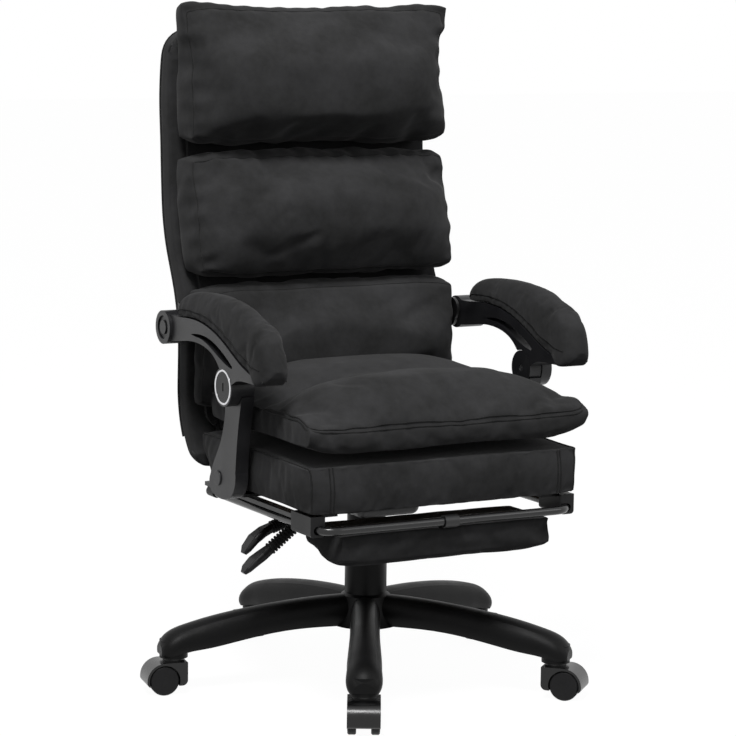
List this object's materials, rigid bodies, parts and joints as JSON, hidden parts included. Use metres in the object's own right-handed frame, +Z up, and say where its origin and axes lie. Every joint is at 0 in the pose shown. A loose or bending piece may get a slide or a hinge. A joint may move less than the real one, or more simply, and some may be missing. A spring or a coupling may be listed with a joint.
{
  "type": "reclining office chair with footrest",
  "caption": "Upholstered recliner office chair: pillow back, padded seat with topper, linked padded armrests, sliding fold-out footrest, star base on casters.",
  "frame": {"origin": "on the floor, on the axis of the gas column", "axes": "+Z up, -Y towards the sitter's front, +X across the seat"},
  "size_m": [0.7527, 0.7447, 1.147],
  "materials": {
    "suede_fabric": "soft brushed microfibre, charcoal, matte with a faint nap",
    "base_nylon": "moulded black nylon, fine texture",
    "arm_nylon": "moulded black nylon, satin",
    "caster_nylon": "moulded black nylon, low gloss",
    "wheel_nylon": "black nylon, smooth",
    "cover_plastic": "black telescopic cover, satin",
    "guide_plastic": "black moulded guide",
    "grip_plastic": "black moulded grip, low gloss",
    "disc_plastic": "black cover disc",
    "rubber_black": "ribbed black rubber",
    "column_black": "gloss black enamel",
    "steel_black": "black powder coat",
    "tube_black": "gloss black enamel",
    "steel": "bright steel",
    "chrome_trim": "polished chrome",
    "plywood": "bare plywood"
  },
  "bodies": {
    "base": {"star_base": "base_nylon", "caster_stems": "steel", "gas_column_tube": "column_black", "column_cover_lower": "cover_plastic"},
    "lift": {"gas_column_piston": "steel", "column_cover_upper": "cover_plastic"},
    "seat": {"seat_mechanism": "steel_black", "seat_board": "plywood", "seat_box_cushion": "suede_fabric", "seat_top_cushion": "suede_fabric", "footrest_rails": "steel_black", "footrest_guides": "guide_plastic", "seat_arm_brackets": "steel_black", "seat_hinge_plates": "steel_black"},
    "height_lever": {"height_lever_rod": "steel_black", "height_lever_sleeve": "rubber_black", "height_lever_grip": "grip_plastic"},
    "recline_lever": {"recline_lever_rod": "steel_black", "recline_lever_sleeve": "rubber_black", "recline_lever_grip": "grip_plastic"},
    "footrest": {"footrest_frame": "tube_black", "footrest_sliders": "guide_plastic"},
    "footrest_flap": {"footrest_clip": "steel_black", "footrest_board": "plywood", "footrest_pad": "suede_fabric"},
    "back": {"back_shell": "suede_fabric", "back_board": "plywood", "headrest_cushion": "suede_fabric", "back_cushion": "suede_fabric", "lumbar_cushion": "suede_fabric", "back_brackets": "steel_black"},
    "post_left": {"arm_post_left": "arm_nylon", "arm_post_cap_left": "arm_nylon"},
    "armrest_left": {"arm_frame_left": "arm_nylon", "arm_pad_left": "suede_fabric", "pivot_disc_left": "disc_plastic", "pivot_ring_left": "chrome_trim", "pivot_bolt_left": "steel"},
    "post_right": {"arm_post_right": "arm_nylon", "arm_post_cap_right": "arm_nylon"},
    "armrest_right": {"arm_frame_right": "arm_nylon", "arm_pad_right": "suede_fabric", "pivot_disc_right": "disc_plastic", "pivot_ring_right": "chrome_trim", "pivot_bolt_right": "steel"},
    "caster_1": {"caster_hood_1": "caster_nylon"},
    "wheels_1": {"caster_axle_1": "steel", "caster_wheels_1": "wheel_nylon"},
    "caster_2": {"caster_hood_2": "caster_nylon"},
    "wheels_2": {"caster_axle_2": "steel", "caster_wheels_2": "wheel_nylon"},
    "caster_3": {"caster_hood_3": "caster_nylon"},
    "wheels_3": {"caster_axle_3": "steel", "caster_wheels_3": "wheel_nylon"},
    "caster_4": {"caster_hood_4": "caster_nylon"},
    "wheels_4": {"caster_axle_4": "steel", "caster_wheels_4": "wheel_nylon"},
    "caster_5": {"caster_hood_5": "caster_nylon"},
    "wheels_5": {"caster_axle_5": "steel", "caster_wheels_5": "wheel_nylon"}
  },
  "joints": [
    {"name": "seat_height", "type": "slide", "parent": "base", "child": "lift", "axis": [0, 0, 1], "range_m": [0, 0.08]},
    {"name": "seat_swivel", "type": "hinge", "parent": "lift", "child": "seat", "pos_m": [0, 0, 0.338], "axis": [0, 0, 1], "continuous": true},
    {"name": "height_lever_lift", "type": "hinge", "parent": "seat", "child": "height_lever", "pos_m": [-0.04, -0.028, 0.322], "axis": [0, 1, 0], "range_deg": [0, 10], "stiffness_Nm_per_rad": 3, "springref_deg": -5.73},
    {"name": "recline_lever_lift", "type": "hinge", "parent": "seat", "child": "recline_lever", "pos_m": [-0.04, -0.062, 0.322], "axis": [0, 1, 0], "range_deg": [0, 10], "stiffness_Nm_per_rad": 3, "springref_deg": -5.73},
    {"name": "footrest_slide", "type": "slide", "parent": "seat", "child": "footrest", "axis": [0, -1, 0], "range_m": [0, 0.28]},
    {"name": "footrest_flip", "type": "hinge", "parent": "footrest", "child": "footrest_flap", "pos_m": [0, -0.281, 0.327], "axis": [-1, 0, 0], "range_deg": [0, 180]},
    {"name": "recline", "type": "hinge", "parent": "seat", "child": "back", "pos_m": [0, 0.172, 0.395], "axis": [-1, 0, 0], "range_deg": [0, 35]},
    {"name": "post_turn_left", "type": "hinge", "parent": "seat", "child": "post_left", "pos_m": [0.2753, -0.01, 0.375], "axis": [-1, 0, 0], "range_deg": [0, 41.2]},
    {"name": "armrest_tilt_left", "type": "hinge", "parent": "post_left", "child": "armrest_left", "pos_m": [0.285, -0.066, 0.535], "axis": [-1, 0, 0], "range_deg": [-34.2, 0]},
    {"name": "post_turn_right", "type": "hinge", "parent": "seat", "child": "post_right", "pos_m": [-0.2753, -0.01, 0.375], "axis": [-1, 0, 0], "range_deg": [0, 41.2]},
    {"name": "armrest_tilt_right", "type": "hinge", "parent": "post_right", "child": "armrest_right", "pos_m": [-0.285, -0.066, 0.535], "axis": [-1, 0, 0], "range_deg": [-34.2, 0]},
    {"name": "caster_swivel_1", "type": "hinge", "parent": "base", "child": "caster_1", "pos_m": [-0.16385, -0.2962, 0.05], "axis": [0, 0, 1], "continuous": true},
    {"name": "wheel_spin_1", "type": "hinge", "parent": "caster_1", "child": "wheels_1", "pos_m": [-0.17401, -0.31458, 0.025], "axis": [0.875, -0.484, 0], "continuous": true},
    {"name": "caster_swivel_2", "type": "hinge", "parent": "base", "child": "caster_2", "pos_m": [0.23107, -0.24736, 0.05], "axis": [0, 0, 1], "continuous": true},
    {"name": "wheel_spin_2", "type": "hinge", "parent": "caster_2", "child": "wheels_2", "pos_m": [0.24541, -0.26271, 0.025], "axis": [0.7308, 0.6826, 0], "continuous": true},
    {"name": "caster_swivel_3", "type": "hinge", "parent": "base", "child": "caster_3", "pos_m": [0.30666, 0.14332, 0.05], "axis": [0, 0, 1], "continuous": true},
    {"name": "wheel_spin_3", "type": "hinge", "parent": "caster_3", "child": "wheels_3", "pos_m": [0.32568, 0.15222, 0.025], "axis": [-0.4234, 0.9059, 0], "continuous": true},
    {"name": "caster_swivel_4", "type": "hinge", "parent": "base", "child": "caster_4", "pos_m": [-0.04155, 0.33594, 0.05], "axis": [0, 0, 1], "continuous": true},
    {"name": "wheel_spin_4", "type": "hinge", "parent": "caster_4", "child": "wheels_4", "pos_m": [-0.04412, 0.35678, 0.025], "axis": [-0.9924, -0.1227, 0], "continuous": true},
    {"name": "caster_swivel_5", "type": "hinge", "parent": "base", "child": "caster_5", "pos_m": [-0.33234, 0.0643, 0.05], "axis": [0, 0, 1], "continuous": true},
    {"name": "wheel_spin_5", "type": "hinge", "parent": "caster_5", "child": "wheels_5", "pos_m": [-0.35295, 0.06829, 0.025], "axis": [-0.19, -0.9818, 0], "continuous": true}
  ],
  "couplings": [
    {"joint": "post_turn_left", "follows": "recline", "ratio": 1.175},
    {"joint": "armrest_tilt_left", "follows": "recline", "ratio": -0.975},
    {"joint": "post_turn_right", "follows": "recline", "ratio": 1.175},
    {"joint": "armrest_tilt_right", "follows": "recline", "ratio": -0.975}
  ]
}
